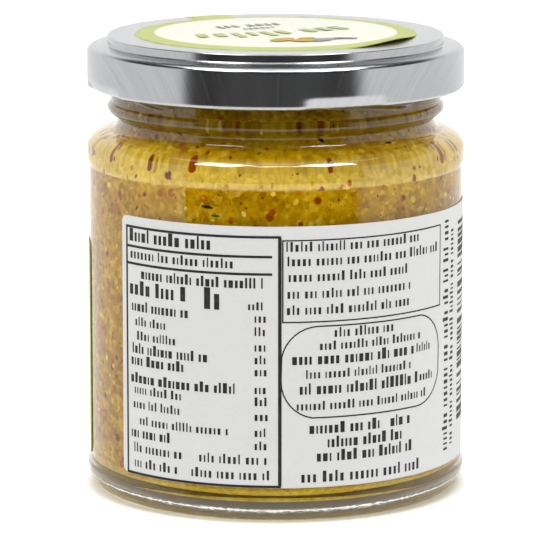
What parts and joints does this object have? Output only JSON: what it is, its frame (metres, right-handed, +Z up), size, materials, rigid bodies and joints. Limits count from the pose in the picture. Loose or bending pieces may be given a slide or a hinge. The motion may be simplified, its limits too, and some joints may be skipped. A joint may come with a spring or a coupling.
{
  "type": "mustard jar",
  "caption": "Round clear glass jar filled with wholegrain mustard, shut with a silver twist-off lid, with a paper label on the back and front and a sticker sealing the lid.",
  "frame": {"origin": "middle of the jar's base, on the surface that it stands on", "axes": "+Z up along the jar's axis, -Y towards the side that the white back label faces"},
  "size_m": [0.0672, 0.0672, 0.0814],
  "materials": {
    "clear_glass": "smooth moulded clear glass",
    "wholegrain_mustard": "moist coarse mustard with brown and yellow seeds",
    "brushed_tinplate": "fine brushed silver lacquered tinplate",
    "green_paper": "satin printed sticker paper",
    "white_paper": "uncoated white label paper with black print",
    "printed_paper": "satin printed label paper"
  },
  "bodies": {
    "root": {"glass_jar": "clear_glass", "mustard": "wholegrain_mustard", "lid": "brushed_tinplate", "lid_sticker": "green_paper", "back_label": "white_paper", "front_label": "printed_paper"}
  },
  "joints": []
}
